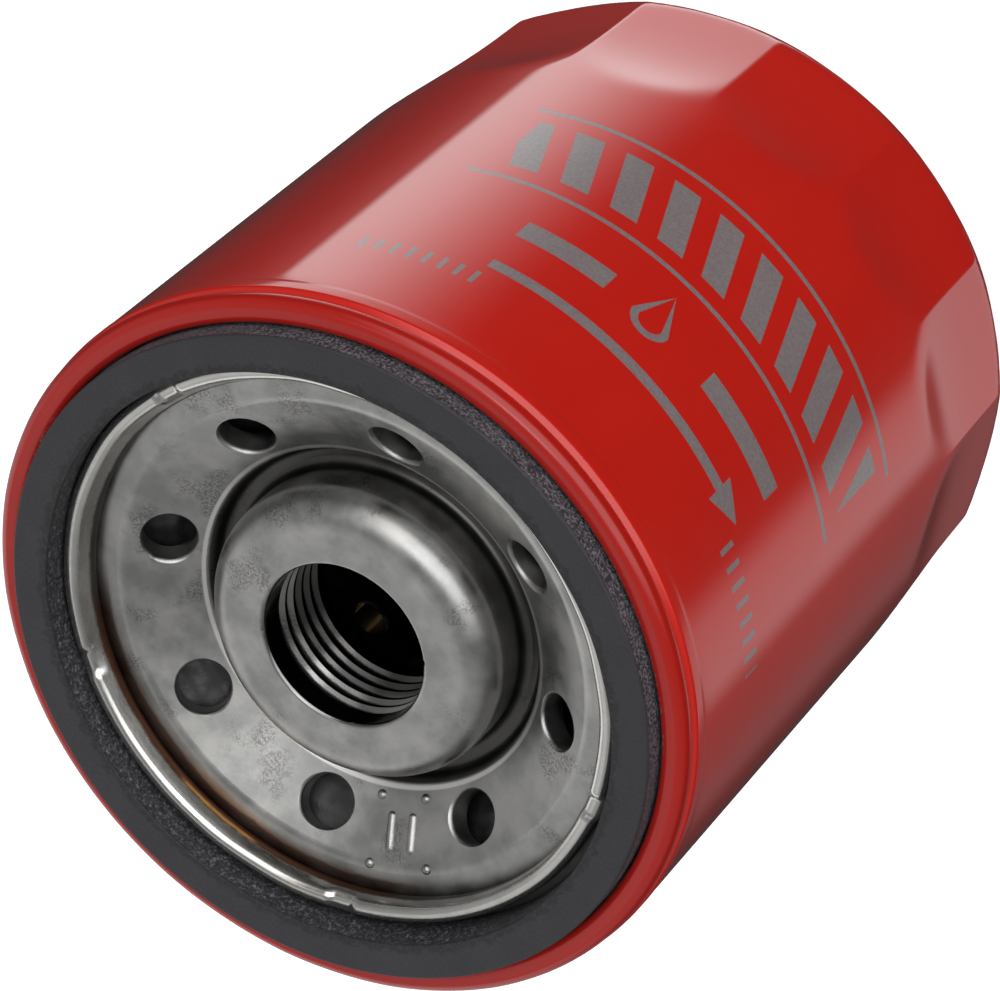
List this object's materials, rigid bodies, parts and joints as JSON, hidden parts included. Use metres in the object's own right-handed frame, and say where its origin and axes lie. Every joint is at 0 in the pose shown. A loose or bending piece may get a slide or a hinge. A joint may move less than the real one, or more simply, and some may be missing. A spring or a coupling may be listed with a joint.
{
  "type": "spin-on oil filter",
  "caption": "Spin-on engine oil filter: red can with wrench flutes, rubber face gasket, threaded base plate with inlet holes, and a pleated element with bypass and anti-drain valves inside.",
  "frame": {"origin": "centre of the gasket's sealing face, on the can's axis", "axes": "+Z out of the threaded end towards the engine; the can runs down to -Z and stands on its closed end; the printed side faces -Y"},
  "size_m": [0.076, 0.076, 0.087],
  "materials": {
    "red_paint": "gloss red paint",
    "sealing_compound": "dull brown",
    "plate_steel": "dull mottled steel",
    "lid_steel": "bright pressed steel",
    "gasket_rubber": "matt black",
    "valve_rubber": "satin black",
    "cap_steel": "tinned steel",
    "filter_paper": "resin-treated paper",
    "potting": "cured potting compound",
    "clip_steel": "plain steel strip",
    "tube_steel": "plain perforated steel",
    "valve_steel": "plain pressed steel",
    "spring_steel": "oiled spring wire"
  },
  "bodies": {
    "can": {"can_shell": "red_paint", "seam_sealant": "sealing_compound", "base_plate": "plate_steel", "gasket_retainer": "lid_steel", "sealing_gasket": "gasket_rubber", "hold_down_spring": "spring_steel"},
    "antidrain": {"antidrain_valve": "valve_rubber"},
    "element": {"inlet_end_cap": "cap_steel", "dome_end_cap": "cap_steel", "filter_media": "filter_paper", "media_clip": "clip_steel", "inlet_potting": "potting", "dome_potting": "potting", "center_tube": "tube_steel", "bypass_housing": "valve_steel", "bypass_keeper": "valve_steel", "bypass_spring": "spring_steel"},
    "poppet": {"bypass_poppet": "valve_steel", "bypass_seal": "valve_rubber", "bypass_stem": "valve_steel"}
  },
  "joints": [
    {"name": "element_float", "type": "slide", "parent": "can", "child": "element", "axis": [0, 0, -1], "range_m": [0, 0.0012], "stiffness_N_per_m": 9000, "springref_m": -0.006, "deforming": ["hold_down_spring"]},
    {"name": "antidrain_lift", "type": "slide", "parent": "can", "child": "antidrain", "axis": [0, 0, -1], "range_m": [0, 0.002], "stiffness_N_per_m": 400, "springref_m": -0.0005, "deforming": ["antidrain_valve"]},
    {"name": "bypass_lift", "type": "slide", "parent": "element", "child": "poppet", "axis": [0, 0, 1], "range_m": [0, 0.0025], "stiffness_N_per_m": 3000, "springref_m": -0.004, "deforming": ["bypass_spring"]}
  ]
}
